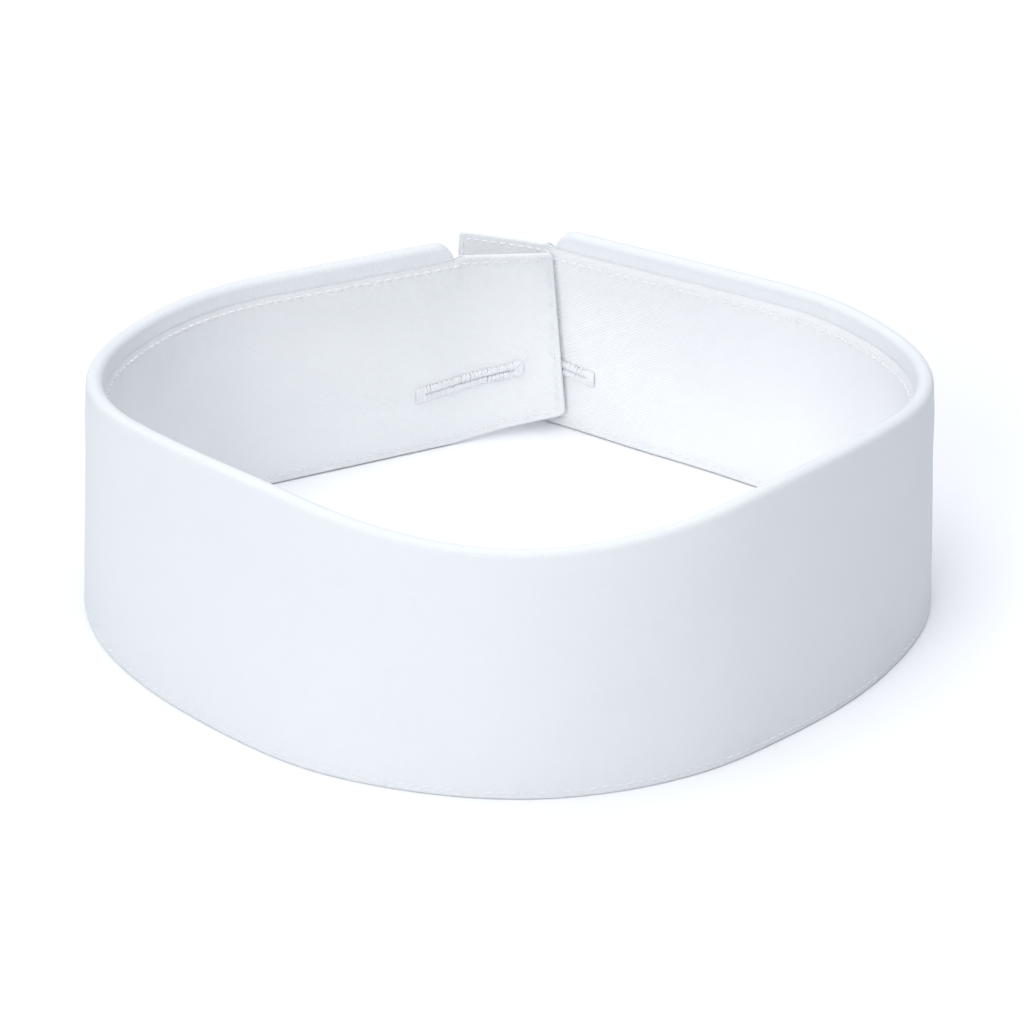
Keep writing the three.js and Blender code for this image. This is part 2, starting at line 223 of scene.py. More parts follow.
def place(s, n, z):
    """Points of the collar in metres."""
    s, n, z = np.broadcast_arrays(np.asarray(s, float), n, z)
    far = np.abs(s)
    end = of_half(s, "end")
    slant = np.maximum(0, far - (end - slant_length)) / slant_length
    at = far - of_half(s, "slant") * slant * z / of_half(s, "back_height")
    up = z / of_half(s, "back_height")
    spring = of_half(s, "low_lift") * (1 - up) + of_half(s, "high_lift") * up
    spring = spring * np.clip((far - (end - lift_length)) / lift_length, 0, 1) ** 2
    n = n + swell(s, z) - spring
    heading = np.where(s < 0, np.interp(at, left["at"], left["heading"]),
                       np.interp(at, right["at"], right["heading"]))
    x = np.where(s < 0, np.interp(at, left["at"], left["x"]),
                 np.interp(at, right["at"], right["x"]))
    y = np.where(s < 0, np.interp(at, left["at"], left["y"]),
                 np.interp(at, right["at"], right["y"]))
    x = np.where(s < 0, -1, 1) * (x + n * np.sin(heading)) + front_centre[0]
    y = y - n * np.cos(heading) + front_centre[1]
    return np.stack([x, y, z], -1) / 1000


# heights of the roll, and where along a half they are taken
nose_height, cheek_height, bend_height = 39.5, 42.7, 36.8
cheek_at, bend_at = 0.22, 0.62
roll_rise = 2.9  # the roll stands this much above the stand's top edge
tab_step = 0.55  # past the leaf the top edge springs up by this much, then falls away
stand_lift = 0.12  # the stand clears the table by this much
tab_corner = 1.2
step_length = 1.6  # length over which the step past the leaf is made


def roll_top(s):
    f = np.abs(s) / of_half(s, "end")
    back = of_half(s, "back_height")
    climbing = nose_height + (cheek_height - nose_height) * ease(f / cheek_at)
    to_bend = ease((f - cheek_at) / (bend_at - cheek_at))
    lowering = cheek_height + (bend_height - cheek_height) * to_bend
    last = bend_height + (back - bend_height) * ease((f - bend_at) / (1 - bend_at))
    return np.where(f < cheek_at, climbing, np.where(f < bend_at, lowering, last))


def corner_cut(to_end, r):
    """How far a corner of radius r has cut in, at a distance to_end from the end."""
    into = np.clip(r - to_end, 0, r)
    return r - np.sqrt(np.maximum(0, r * r - into * into))


def past_leaf(s):
    return ease((np.abs(s) - of_half(s, "leaf_end")) / step_length)


def into_tab(s):
    return np.maximum(0, np.abs(s) - of_half(s, "leaf_end")) / of_half(s, "tab")


def stand_top(s):
    cut = corner_cut(of_half(s, "end") - np.abs(s), tab_corner)
    drop = of_half(s, "top_drop") * into_tab(s)
    return roll_top(s) - roll_rise + tab_step * past_leaf(s) - drop - cut


def stand_bottom(s):
    cut = corner_cut(of_half(s, "end") - np.abs(s), tab_corner)
    return stand_lift + of_half(s, "bottom_rise") * into_tab(s) + cut


# ---------- leaf: outer cloth, under cloth and interlining ----------
# The fall of the collar: two plies of fine white cotton bagged out round a stiff interlining,
# starched and pressed over a soft roll. Its raw edge is caught in the top seam of the stand.

cloth = 0.3  # thicknesses in mm
stiffener = 0.35
ply_gap = 0.06
leaf_thickness = 2 * cloth + stiffener + 2 * ply_gap
leaf_middle = leaf_thickness / 2
roll_centre, roll_radius = 0.02, 1.28
seam_allowance = 5.5
front_flare = 1.3  # the hem stands off the stand by this much at the front,
side_flare = 0.8  # and from the side bend on; at the cheek each half has a flare of its own
flare_from, flare_ease = 60, 40  # where the side's flare begins, and the length of each change
roll_bulge = 0.62  # just above the stand the leaf stands inward of the roll by this much
bulge_start, bulge_fade = 0.7, 2.2  # it comes in over this height and is gone this far up
leaf_belly = 0.15  # how far the cloth bows out just below the roll
belly_below, belly_depth, belly_start = 5, 4.5, 3
roll_end_corner = 3.2
turned_radius = 0.6  # roundness of a turned and pressed edge
hem_row, end_row = 1.2, 1.55  # the rows of stitching, from the edge
stitch = 1.85  # length of one stitch with its gap


def eased_edge(e):
    """0 at a turned edge, 1 from turned_radius inward, along a quarter round."""
    u = 1 - np.clip(e / turned_radius, 0, 1)
    return np.sqrt(np.maximum(0, 1 - u * u))


groove_depth, groove_width = 0.1, 0.42  # what a row of stitches draws in,
flank_rise, flank_width, flank_at = 0.035, 0.6, 1.1  # and the swelling to each side of it


def needle_dip(across, along):
    """How deep a row of stitching draws the cloth in, with a pucker at every stitch."""
    groove = groove_depth * np.exp(-(across / groove_width) ** 2)
    pucker = 0.5 + 0.5 * np.cos(2 * np.pi * along / stitch) ** 3
    flank = flank_rise * np.exp(-((np.abs(across) - flank_at) / flank_width) ** 2)
    return groove * pucker - flank * (0.7 + 0.3 * np.sin(2 * np.pi * along / (1.5 * stitch)))


def columns(end_left, end_right, step=0.4):
    """Stations along a ply, closer together at its two ends."""
    close = np.array([0, 0.03, 0.1, 0.2, 0.34, 0.5, 0.7])
    body = np.arange(-end_left + 1.0, end_right - 0.95, step)
    return np.concatenate([close - end_left, body, (end_right - close)[::-1]])


near_edge = np.array([0, 0.03, 0.1, 0.2, 0.34, 0.5, 0.7, 0.95, 1.2, 1.5, 1.8, 2.1, 2.4, 2.8])
rising, rounding, falling = 24, 17, 32  # rows up from the seam, over the roll and down the fall
not_on_fall = 99.0  # stands for the distance to the hem anywhere but on the fall


def leaf_bow(s, below, centre):
    """How far the fall stands off the straight, from the roll's axis down."""
    flare = front_flare + (of_half(s, "flare") - front_flare) * ease(np.abs(s) / flare_ease)
    flare = flare + (side_flare - flare) * ease((np.abs(s) - flare_from) / flare_ease)
    belly = leaf_belly * np.exp(-((below - belly_below) / belly_depth) ** 2)
    belly = belly * ease(below / belly_start)
    return flare * below / centre + belly


def leaf_rows(s, seam_short=0.0, hem_short=0.0):
    """The run of the leaf from the seam over the roll to the hem, at each station: a point on the
    roll's axis line, the way out from it, the distance to the hem and the length along the cloth."""
    s = s[:, None]
    to_end = of_half(s, "leaf_end") - np.abs(s)
    centre = roll_top(s) - roll_radius - corner_cut(to_end, roll_end_corner)
    low = stand_top(s) - seam_allowance + seam_short
    up = np.linspace(0, 1, rising + 1)[None, :-1]
    round_over = np.linspace(0, 1, rounding)[None, :]
    down = np.linspace(0, 1, falling + 2)[None, 1:-1]
    last = near_edge[::-1][None, :] + hem_short
    rise = low + (centre - low) * up
    fall = centre + (last[:, :1] - centre) * down
    turn = np.pi * (1 - round_over)
    z = np.concatenate([rise, centre + 0 * turn, fall, last + 0 * s], 1)
    below = falling + last.shape[1]
    angle = np.concatenate([np.full(rising, np.pi), turn[0], np.zeros(below)])[None, :]
    on_fall = np.concatenate([np.zeros(rising + rounding), np.ones(below)])[None, :]
    out = np.cos(angle)
    above = z - stand_top(s)
    bulge = roll_bulge * np.minimum(0, out) * ease(above / bulge_start + 1)
    bulge = bulge * np.clip(1 - above / bulge_fade, 0.1, 1)
    n = roll_centre + on_fall * leaf_bow(s, centre - z, centre) + bulge
    to_hem = np.where(on_fall > 0, z, not_on_fall)
    over = (centre - low) + roll_radius * np.pi * round_over + 0 * s
    beyond = (centre - low) + roll_radius * np.pi + centre - z[:, rising + rounding:]
    along = np.concatenate([(rise - low), over, beyond], 1)
    return n, z, out, np.sin(angle), to_hem, to_end, along


def leaf_surface(s, rows, depth):
    """Points at a depth inside the leaf's outer face."""
    n, z, out, up = rows[:4]
    reach = roll_radius - depth
    return place(s[:, None], n + out * reach, z + up * reach)


def leaf_dip(s, rows):
    """The draw of the hem row and of the two end rows."""
    to_hem, to_end = rows[4], rows[5]
    s = s[:, None] + 0 * to_hem
    hem = 0.35 * needle_dip(to_hem - hem_row, s) * (to_end > end_row)
    ends = needle_dip(to_end - end_row, rows[1]) * (to_hem > hem_row) * (to_hem < not_on_fall)
    fine = 0.025 * np.sin(2 * np.pi * s / 3.1 + 1.3 * np.sin(s / 7))
    fine = fine * np.exp(-((to_hem - 2.2) / 1.6) ** 2)
    return hem + ends + fine


def make_mesh(name, points, faces, cloth_map):
    """A mesh object whose UV map holds the cloth's own length and width in metres."""
    mesh = bpy.data.meshes.new(name)
    mesh.from_pydata(points.reshape(-1, 3).tolist(), [], faces.tolist())
    uv = mesh.uv_layers.new(name="cloth")
    corner = np.empty(len(mesh.loops), int)
    mesh.loops.foreach_get("vertex_index", corner)
    uv.data.foreach_set("uv", (cloth_map.reshape(-1, 2)[corner] / 1000).astype(np.float32).ravel())
    mesh.shade_smooth()
    made = bpy.data.objects.new(name, mesh)
    bpy.context.scene.collection.objects.link(made)
    return made


def make_ply(name, front, back, cloth_map):
    """A closed ply from the grids of its front and back faces."""
    count = front.shape[0] * front.shape[1]
    index = np.arange(count).reshape(front.shape[:2])
    a, b, c, d = index[:-1, :-1], index[1:, :-1], index[1:, 1:], index[:-1, 1:]
    face = np.stack([a, b, c, d], -1).reshape(-1, 4)
    rim = np.concatenate([index[:-1, 0], index[-1, :-1], index[:0:-1, -1], index[0, :0:-1]])
    after = np.roll(rim, -1)
    edge = np.stack([after, rim, rim + count, after + count], -1)
    faces = np.concatenate([face, face[:, ::-1] + count, edge])
    points = np.concatenate([front.reshape(-1, 3), back.reshape(-1, 3)])
    p = points[faces]
    volume = np.einsum("ij,ij->i", p[:, 0], np.cross(p[:, 1], p[:, 2])).sum()
    volume += np.einsum("ij,ij->i", p[:, 0], np.cross(p[:, 2], p[:, 3])).sum()
    if volume < 0:
        faces = faces[:, ::-1]
    return make_mesh(name, points, faces, np.concatenate([cloth_map, cloth_map]))


def turns_with_halves(piece):
    """Bakes the piece's transform into its mesh; though both halves swing on the front centre, the
    piece is attached to neither.
    """
    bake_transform(piece)


def both(node):
    return node + "_left", node + "_right"


leaf_s = columns(left["leaf_end"], right["leaf_end"])
rows = leaf_rows(leaf_s)
leaf_map = np.stack(np.broadcast_arrays(leaf_s[:, None], rows[6]), -1)
edge = np.minimum(rows[4], rows[5])
dip = leaf_dip(leaf_s, rows)
face_depth = leaf_middle * (1 - eased_edge(edge))
inner_depth = np.minimum(leaf_middle - 0.01,
                         leaf_middle * (1 - eased_edge(edge - cloth)) + cloth)
leaf_outer_cloth = make_ply(
    "leaf_outer_cloth",
    leaf_surface(leaf_s, rows, face_depth + dip),
    leaf_surface(leaf_s, rows, inner_depth + dip * 0.5), leaf_map)

under_face = leaf_thickness - leaf_middle * (1 - eased_edge(edge))
under_back = np.maximum(leaf_middle + 0.01, under_face - cloth)
leaf_under_cloth = make_ply(
    "leaf_under_cloth",
    leaf_surface(leaf_s, rows, under_face - dip),
    leaf_surface(leaf_s, rows, under_back - dip * 0.5), leaf_map)

turned_edge = 0.6  # the stiffener stops short of the edges by this much
stiff_s = columns(left["leaf_end"] - turned_edge, right["leaf_end"] - turned_edge, 1.5)
stiff_rows = leaf_rows(stiff_s, turned_edge, turned_edge)
stiff_map = np.stack(np.broadcast_arrays(stiff_s[:, None], stiff_rows[6]), -1)
leaf_interlining = make_ply(
    "leaf_interlining",
    leaf_surface(stiff_s, stiff_rows, leaf_middle - 0.12),
    leaf_surface(stiff_s, stiff_rows, leaf_middle + 0.12), stiff_map)

# Fine cotton in plain weave, starched and calendered: nearly smooth, with a soft bloom at grazing
# angles. Real yarns lie 0.17 mm apart; they are drawn at 0.42 mm, the closest that still shows.
yarn_gap = 0.42
cord_gap, cord_lean = 0.5, 0.25
to_turns = 2000 * math.pi  # a length in metres over a gap in mm, as an angle


def weave_height(tree, u, v, gap_u, gap_v):
    """Plain weave: warp and weft take turns on top."""
    waves = []
    for coordinate, gap in ((u, gap_u), (v, gap_v)):
        turns = add_node(tree, "Math", {"operation": "MULTIPLY"},
                         {0: coordinate, 1: to_turns / gap})
        waves.append(add_node(tree, "Math", {"operation": "SINE"}, {0: turns.outputs[0]}))
    product = add_node(tree, "Math", {"operation": "MULTIPLY"},
                       {0: waves[0].outputs[0], 1: waves[1].outputs[0]})
    return product.outputs[0]


def cloth_coordinates(tree):
    """The cloth's own length and width, and the two together."""
    here = add_node(tree, "UVMap", {"uv_map": "cloth"}).outputs[0]
    parts = add_node(tree, "SeparateXYZ", links={0: here})
    return here, parts.outputs[0], parts.outputs[1]


def cotton(name, pale, dark, height, strength, distance, roughness, sheen):
    """White cotton: bleached yarn with a slow change of tone, and faint painted shade between the
    yarns where the relief lies low.
    """
    material, tree = new_material(name)
    here, u, v = cloth_coordinates(tree)
    relief = height(tree, u, v)
    slow = add_node(tree, "TexNoise", links={"Vector": here, "Scale": 32.0, "Detail": 2.0})
    slub = add_node(tree, "TexNoise", links={"Vector": here, "Scale": 900.0, "Detail": 3.0})
    # the relief also darkens the colour where the cloth lies low: painted shade in the hollows of the
    # weave, laid over the slow random tone
    tone_and_painted_shade = add_node(tree, "Math", {"operation": "MULTIPLY_ADD"},
                      {0: relief, 1: -0.1, 2: slow.outputs["Fac"]})
    colour_with_painted_shade = add_node(tree, "MixRGB", links={
        "Fac": tone_and_painted_shade.outputs[0], 1: to_linear(pale), 2: to_linear(dark)})
    raised = add_node(tree, "Math", {"operation": "MULTIPLY_ADD"},
                      {0: slub.outputs["Fac"], 1: 1.4, 2: relief})
    bump = add_node(tree, "Bump", links={
        "Strength": strength, "Distance": distance, "Height": raised.outputs[0]})
    shader = add_node(tree, "BsdfPrincipled", links={
        "Base Color": colour_with_painted_shade.outputs[0], "Roughness": roughness, "IOR": 1.46,
        "Specular IOR Level": 0.35, "Sheen Weight": sheen, "Sheen Roughness": 0.4,
        "Normal": bump.outputs[0]})
    add_node(tree, "OutputMaterial", links={"Surface": shader.outputs[0]})
    return material


def leaf_height(tree, u, v):
    """Pressed smooth on the fall; inside the roll the upright cords of the weave still show."""
    plain = weave_height(tree, u, v, yarn_gap, yarn_gap)
    lean = add_node(tree, "Math", {"operation": "MULTIPLY_ADD"}, {0: v, 1: cord_lean, 2: u})
    cord = add_node(tree, "Math", {"operation": "MULTIPLY"},
                    {0: lean.outputs[0], 1: to_turns / cord_gap})
    cord = add_node(tree, "Math", {"operation": "SINE"}, {0: cord.outputs[0]})
    inside = add_node(tree, "MapRange", links={
        "Value": v, "From Min": 0.0085, "From Max": 0.0115, "To Min": 2.2, "To Max": 0.0})
    return add_node(tree, "Math", {"operation": "MULTIPLY_ADD"},
                    {0: cord.outputs[0], 1: inside.outputs[0], 2: plain}).outputs[0]


calendered_cotton = cotton(
    "calendered_white_cotton", "#ebeef0", "#e6eaed", leaf_height,
    strength=0.25, distance=0.00003, roughness=0.78, sheen=0.03)

# Buckram: open plain weave sized with starch, a shade greyer than the face cloth.
buckram_gap = 1.1
buckram = cotton(
    "sized_buckram", "#e9ebf1", "#dfe2ea",
    lambda tree, u, v: weave_height(tree, u, v, buckram_gap, buckram_gap),
    strength=0.6, distance=0.0001, roughness=0.85, sheen=0.05)

leaf_length = left["leaf_end"] + right["leaf_end"]
leaf_width = float(rows[6][:, -1].mean())
leaf_flat = (leaf_length, leaf_width)
stiff_flat = (leaf_length - 2 * turned_edge, leaf_width - 2 * turned_edge)
for piece, node, material, slot, flat in (
        (leaf_outer_cloth, "leaf_outer_cloth", calendered_cotton, "leaf_cloth", leaf_flat),
        (leaf_under_cloth, "leaf_under_cloth", calendered_cotton, "leaf_cloth", leaf_flat),
        (leaf_interlining, "leaf_interlining", buckram, "interlining", stiff_flat)):
    piece.data.materials.append(material)
    turns_with_halves(piece)
    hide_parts(*both(node))


# ---------- stand: inner cloth, outer cloth and interlining ----------
# The upright band that goes round the neck: cotton twill inside and out over a stiffener, turned
# in at every edge. Past the leaf each end runs on as a free tab with a stud hole worked in it.

inner_face = -2.03
tab_thickness = leaf_thickness
tab_meet = tab_thickness / 2
seam_meet = 0.42  # along the leaf the top edge lies against the leaf itself,
seam_slope = 1.5  # and slopes down to it over this length
bottom_row = 1.45
seam_ridge = 0.22  # where the leaf's seam allowance ends the inner cloth drops by this much
gather_height, gather_length = 0.10, 4.3
gather_right, gather_left, gather_spread = 128, -120, 26  # where the sides are eased, in s


def top_row(s):
    """The top row runs closer to the edge on the left half, and evenly on the tabs."""
    along_leaf = 1.45 + 0.35 * np.tanh(s / 40)
    return along_leaf + (1.25 - along_leaf) * past_leaf(s)


def stand_edges(s, z):
    """Distances to the stand's bottom, top and end edges."""
    return z - stand_bottom(s), stand_top(s) - z, of_half(s, "end") - np.abs(s)


def stand_dip(s, z):
    """The draw of the rows of stitching, and gathers where the top edge is eased round the side."""
    bottom, top, to_end = stand_edges(s, z)
    inside = (to_end > end_row)
    draw = needle_dip(top - top_row(s), s) * inside + needle_dip(bottom - bottom_row, s) * inside
    draw = draw + needle_dip(to_end - end_row, z) * (top > top_row(s)) * (bottom > bottom_row)
    side_bend = np.exp(-((s - gather_right) / gather_spread) ** 2)
    side_bend = side_bend + 0.6 * np.exp(-((s - gather_left) / gather_spread) ** 2)
    ripple = np.sin(2 * np.pi * s / gather_length + 1.5 * np.sin(s / 9))
    gathers = gather_height * ripple * side_bend
    gathers = gathers * np.exp(-((top - 2.6) / 2.4) ** 2)
    return draw + gathers


def edge_turn(s, z):
    """How far the turned edges fall back from the face, along the leaf's seam on a long slope."""
    bottom, top, to_end = stand_edges(s, z)
    sloped = seam_meet * ease(1 - top / seam_slope) * (1 - past_leaf(s))
    free_top = top + 9 * (1 - past_leaf(s))
    edge = np.minimum(np.minimum(bottom, free_top), to_end)
    return np.maximum(sloped, tab_meet * (1 - eased_edge(edge)))


def inner_cloth_face(s, z):
    """The face that lies against the neck."""
    top = stand_edges(s, z)[1]
    over_seam = (1 - past_leaf(s)) * ease((seam_allowance + 1 - top) / 2)
    return inner_face + seam_ridge * (0.5 - over_seam) + edge_turn(s, z) + stand_dip(s, z)


def stand_rows(s, inset=0.0, top=None):
    """Heights of the rows of a stand ply, closer together along both edges."""
    s = s[:, None]
    low = stand_bottom(s) + inset
    high = (stand_top(s) if top is None else top(s)) - inset
    count = 24
    middle = np.linspace(0, 1, count + 2)[None, 1:-1]
    a, b = low + near_edge[-1], high - near_edge[-1]
    return np.concatenate([low + near_edge[None, :], a + (b - a) * middle,
                           high - near_edge[None, ::-1]], 1)


stand_s = columns(left["end"], right["end"])
across = stand_rows(stand_s)
along = stand_s[:, None] + 0 * across
stand_map = np.stack([along, across], -1)
face = inner_cloth_face(along, across)
back = np.maximum(np.minimum(inner_face + tab_meet, face + cloth), face + 0.005)
stand_inner_cloth = make_ply("stand_inner_cloth", place(along, face, across),
                             place(along, back, across), stand_map)


def outer_cloth_top(s):
    """Under the leaf the outer cloth reaches up into the roll, past it as high as the tab."""
    tucked = roll_top(s) - roll_radius - 1.3
    return tucked + (stand_top(s) - tucked) * ease((np.abs(s) - of_half(s, "leaf_end")) / 0.9 + 1)


def outer_cloth_face(s, z):
    """The face that lies against the leaf, stepped out over the seam allowance."""
    bottom = z - stand_bottom(s)
    top = outer_cloth_top(s) - z
    to_end = of_half(s, "end") - np.abs(s)
    flat = inner_face + tab_thickness
    stepped = roll_centre + cloth / 2
    closed = ease((np.abs(s) - of_half(s, "leaf_end") + 1.5) / step_length)
    high = ease((z - (stand_top(s) - seam_allowance - 2.4)) / 2.2) * (1 - closed)
    edge = np.minimum(np.minimum(bottom, top + 9 * (1 - past_leaf(s))), to_end)
    inside = (to_end > end_row)
    draw = needle_dip(bottom - bottom_row, s) * inside
    draw = draw + needle_dip(top - top_row(s), s) * inside * past_leaf(s)
    draw = draw + needle_dip(to_end - end_row, z) * (top > top_row(s)) * (bottom > bottom_row)
    return flat + (stepped - flat) * high - tab_meet * (1 - eased_edge(edge)) - draw


across = stand_rows(stand_s, top=outer_cloth_top)
along = stand_s[:, None] + 0 * across
face = outer_cloth_face(along, across)
behind = np.maximum(inner_face + tab_meet + 0.01, face - cloth)
stand_outer_cloth = make_ply("stand_outer_cloth", place(along, face, across),
                             place(along, np.minimum(behind, face - 0.005), across),
                             np.stack([along, across], -1))

stiff_s = columns(left["end"] - turned_edge, right["end"] - turned_edge, 1.5)
across = stand_rows(stiff_s, turned_edge)
along = stiff_s[:, None] + 0 * across
middle_of_stand = inner_face + tab_meet
stand_interlining = make_ply(
    "stand_interlining", place(along, middle_of_stand + 0.1, across),
    place(along, middle_of_stand - 0.1, across), np.stack([along, across], -1))

# the slit of each stud hole goes through every ply of the stand
slit_length = 17.2
slit_width = 0.2
bar_length = 1.6
hole_height = 11.4
hole_tilt = math.tan(math.radians(5.5))


def hole_spot(side, along, across):
    """s and z of a point of a stud hole, from its centre: towards the free end, and up."""
    half = left if side < 0 else right
    centre = half["end"] - half["hole_from_end"] - bar_length - slit_length / 2
    return side * (centre + along), hole_height + across + hole_tilt * along


def cut_slit(piece, side):
    """Cuts the slit with a blade that follows the bend of the tab."""
    steps = np.linspace(-slit_length / 2, slit_length / 2, 12)
    blade = []
    for d in steps:
        half_width = slit_width / 2 * math.sqrt(max(0.05, 1 - (2 * d / slit_length) ** 20))
        for up, n in ((-1, -1.5), (1, -1.5), (1, 1.9), (-1, 1.9)):
            s, z = hole_spot(side, d, up * half_width)
            blade.append(place(s, inner_face + 0.5 + n, z))
    faces = [(4 * i + k, 4 * i + (k + 1) % 4, 4 * i + 4 + (k + 1) % 4, 4 * i + 4 + k)
             for i in range(len(steps) - 1) for k in range(4)]
    last = 4 * (len(steps) - 1)
    faces += [(3, 2, 1, 0), (last, last + 1, last + 2, last + 3)]
    if side < 0:
        faces = [face[::-1] for face in faces]
    mesh = bpy.data.meshes.new("blade")
    mesh.from_pydata([tuple(p) for p in blade], [], faces)
    tool = bpy.data.objects.new("blade", mesh)
    bpy.context.scene.collection.objects.link(tool)
    cut = piece.modifiers.new("slit", "BOOLEAN")
    cut.operation = "DIFFERENCE"
    cut.solver = "EXACT"
    cut.object = tool
    depsgraph = bpy.context.evaluated_depsgraph_get()
    done = bpy.data.meshes.new_from_object(piece.evaluated_get(depsgraph))
    piece.modifiers.clear()
    old = piece.data
    piece.data = done
    bpy.data.meshes.remove(old)
    bpy.data.objects.remove(tool)
    bpy.data.meshes.remove(mesh)


for piece in (stand_inner_cloth, stand_outer_cloth, stand_interlining):
    for side in (-1, 1):
        cut_slit(piece, side)

# Cotton twill, bleached: fine ribs 0.43 mm apart climb towards the front on both halves, at about
# 30 degrees. They show best at the back, and the iron has pressed them flatter round the sides.
rib_gap = 0.43
rib_slope = 0.6
rib_wander = 0.0005  # in metres, as the cloth's map is
weft_float = 0.5


def twill_height(tree, u, v):
    """Slanting ribs, each broken into the short floats of the weft."""
    far = add_node(tree, "Math", {"operation": "ABSOLUTE"}, {0: u})
    here = add_node(tree, "UVMap", {"uv_map": "cloth"}).outputs[0]
    wander = add_node(tree, "TexNoise", links={"Vector": here, "Scale": 600.0, "Detail": 2.0})
    lean = add_node(tree, "Math", {"operation": "MULTIPLY_ADD"},
                    {0: far.outputs[0], 1: rib_slope, 2: v})
    lean = add_node(tree, "Math", {"operation": "MULTIPLY_ADD"},
                    {0: wander.outputs["Fac"], 1: rib_wander, 2: lean.outputs[0]})
    turns = to_turns / (rib_gap / math.cos(math.atan(rib_slope)))
    rib = add_node(tree, "Math", {"operation": "MULTIPLY"}, {0: lean.outputs[0], 1: turns})
    rib = add_node(tree, "Math", {"operation": "SINE"}, {0: rib.outputs[0]})
    float_turns = add_node(tree, "Math", {"operation": "MULTIPLY"},
                           {0: u, 1: to_turns / weft_float})
    floats = add_node(tree, "Math", {"operation": "SINE"}, {0: float_turns.outputs[0]})
    broken = add_node(tree, "Math", {"operation": "MULTIPLY_ADD"},
                      {0: floats.outputs[0], 1: 0.5, 2: rib.outputs[0]})
    crisp = add_node(tree, "MapRange", links={
        "Value": far.outputs[0], "From Min": 0.145, "From Max": 0.185,
        "To Min": 0.15, "To Max": 0.9})
    return add_node(tree, "Math", {"operation": "MULTIPLY"},
                    {0: broken.outputs[0], 1: crisp.outputs[0]}).outputs[0]


# through cotton() the ribs' relief also paints faint shade into the twill's colour in each groove,
# most at the back where the ribs are crisp
white_twill = cotton(
    "bleached_cotton_twill", "#f4f6f7", "#ebedef", twill_height,
    strength=0.4, distance=0.00006, roughness=0.8, sheen=0.05)

for piece, material, slot, short in (
        (stand_inner_cloth, white_twill, "stand_twill", 0.0),
        (stand_outer_cloth, white_twill, "stand_twill", 0.0),
        (stand_interlining, buckram, "interlining", 2 * turned_edge)):
    piece.data.materials.clear()
    piece.data.materials.append(material)
    turns_with_halves(piece)
    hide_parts(*both(piece.name))


# ---------- rows of stitching ----------
# Lockstitch in mercerised cotton thread, a little under two millimetres to the stitch: each is a
# short bright length of thread that dives into the cloth at both ends. The needle side and the bobbin
# side both show, so every row runs on both faces of the cloth.

thread_width = 0.38
ring = 6
rng = np.random.default_rng(16)


def spin(paths, widths, side):
    """Round threads along many paths at once. side is the way across each path."""
    along = np.gradient(paths, axis=1)
    along /= np.linalg.norm(along, axis=2, keepdims=True)
    side = np.broadcast_to(np.asarray(side, float), along.shape)
    rise = np.cross(side, along)
    turn = np.linspace(0, 2 * np.pi, ring, endpoint=False)
    c, d = np.cos(turn)[None, None, :, None], np.sin(turn)[None, None, :, None]
    around = c * side[:, :, None] + d * rise[:, :, None]
    points = paths[:, :, None] + widths[:, :, None, None] / 2 * around
    threads, steps = paths.shape[:2]
    index = np.arange(threads * steps * ring).reshape(threads, steps, ring)
    a, b = index[:, :-1], index[:, 1:]
    wall = np.stack([a, np.roll(a, -1, 2), np.roll(b, -1, 2), b], -1).reshape(-1, 4)
    caps = [list(index[k, 0, ::-1]) for k in range(threads)]
    caps += [list(index[k, -1]) for k in range(threads)]
    return points.reshape(-1, 3), wall.tolist() + [[int(i) for i in cap] for cap in caps]


def make_thread(name, parts, material):
    """One object from several runs of thread, with the cloth's s and height in its UV map."""
    points, faces = [], []
    for some, walls in parts:
        start = sum(len(p) for p in points)
        points.append(some)
        faces += [[i + start for i in face] for face in walls]
    points = np.concatenate(points)
    mesh = bpy.data.meshes.new(name)
    mesh.from_pydata(place(points[:, 0], points[:, 1], points[:, 2]).tolist(), [], faces)
    uv = mesh.uv_layers.new(name="cloth")
    corner = np.empty(len(mesh.loops), int)
    mesh.loops.foreach_get("vertex_index", corner)
    flat = np.stack([points[:, 0], points[:, 2]], -1) / 1000
    uv.data.foreach_set("uv", flat[corner].astype(np.float32).ravel())
    mesh.shade_smooth()
    mesh.materials.append(material)
    made = bpy.data.objects.new(name, mesh)
    bpy.context.scene.collection.objects.link(made)
    turn_out(mesh)
    return made


def turn_out(mesh):
    """Faces of a closed mesh all look outward."""
    work = bmesh.new()
    work.from_mesh(mesh)
    bmesh.ops.recalc_face_normals(work, faces=work.faces)
    work.to_mesh(mesh)
    work.free()


def stitch_run(start, stop, spot, surface, outwards, side, rise=0.1, width=thread_width):
    """A run of stitches. spot gives s and z at a distance along the run, surface the face's n."""
    count = max(1, int(round((stop - start) / stitch)))
    middles = start + (np.arange(count) + 0.5) * (stop - start) / count
    middles = np.round(middles / stitch - 0.5) * stitch + stitch / 2 if count > 12 else middles
    u = np.array([-1, -0.88, -0.62, -0.25, 0.25, 0.62, 0.88, 1])
    reach = 0.6 + rng.uniform(-0.07, 0.05, count)
    d = middles[:, None] + u * reach[:, None]
    lean = rng.uniform(-0.05, 0.05, count)[:, None] + 0.05
    s, z = spot(d, u * lean)
    high = (rise + rng.uniform(-0.02, 0.03, count))[:, None] * (1 - u ** 4) - 0.11 * u ** 8
    widths = width * (1 - 0.5 * np.abs(u) ** 6) * np.ones((count, 1))
    paths = np.stack([s, surface(s, z) + outwards * high, z], -1)
    return spin(paths, widths, side)


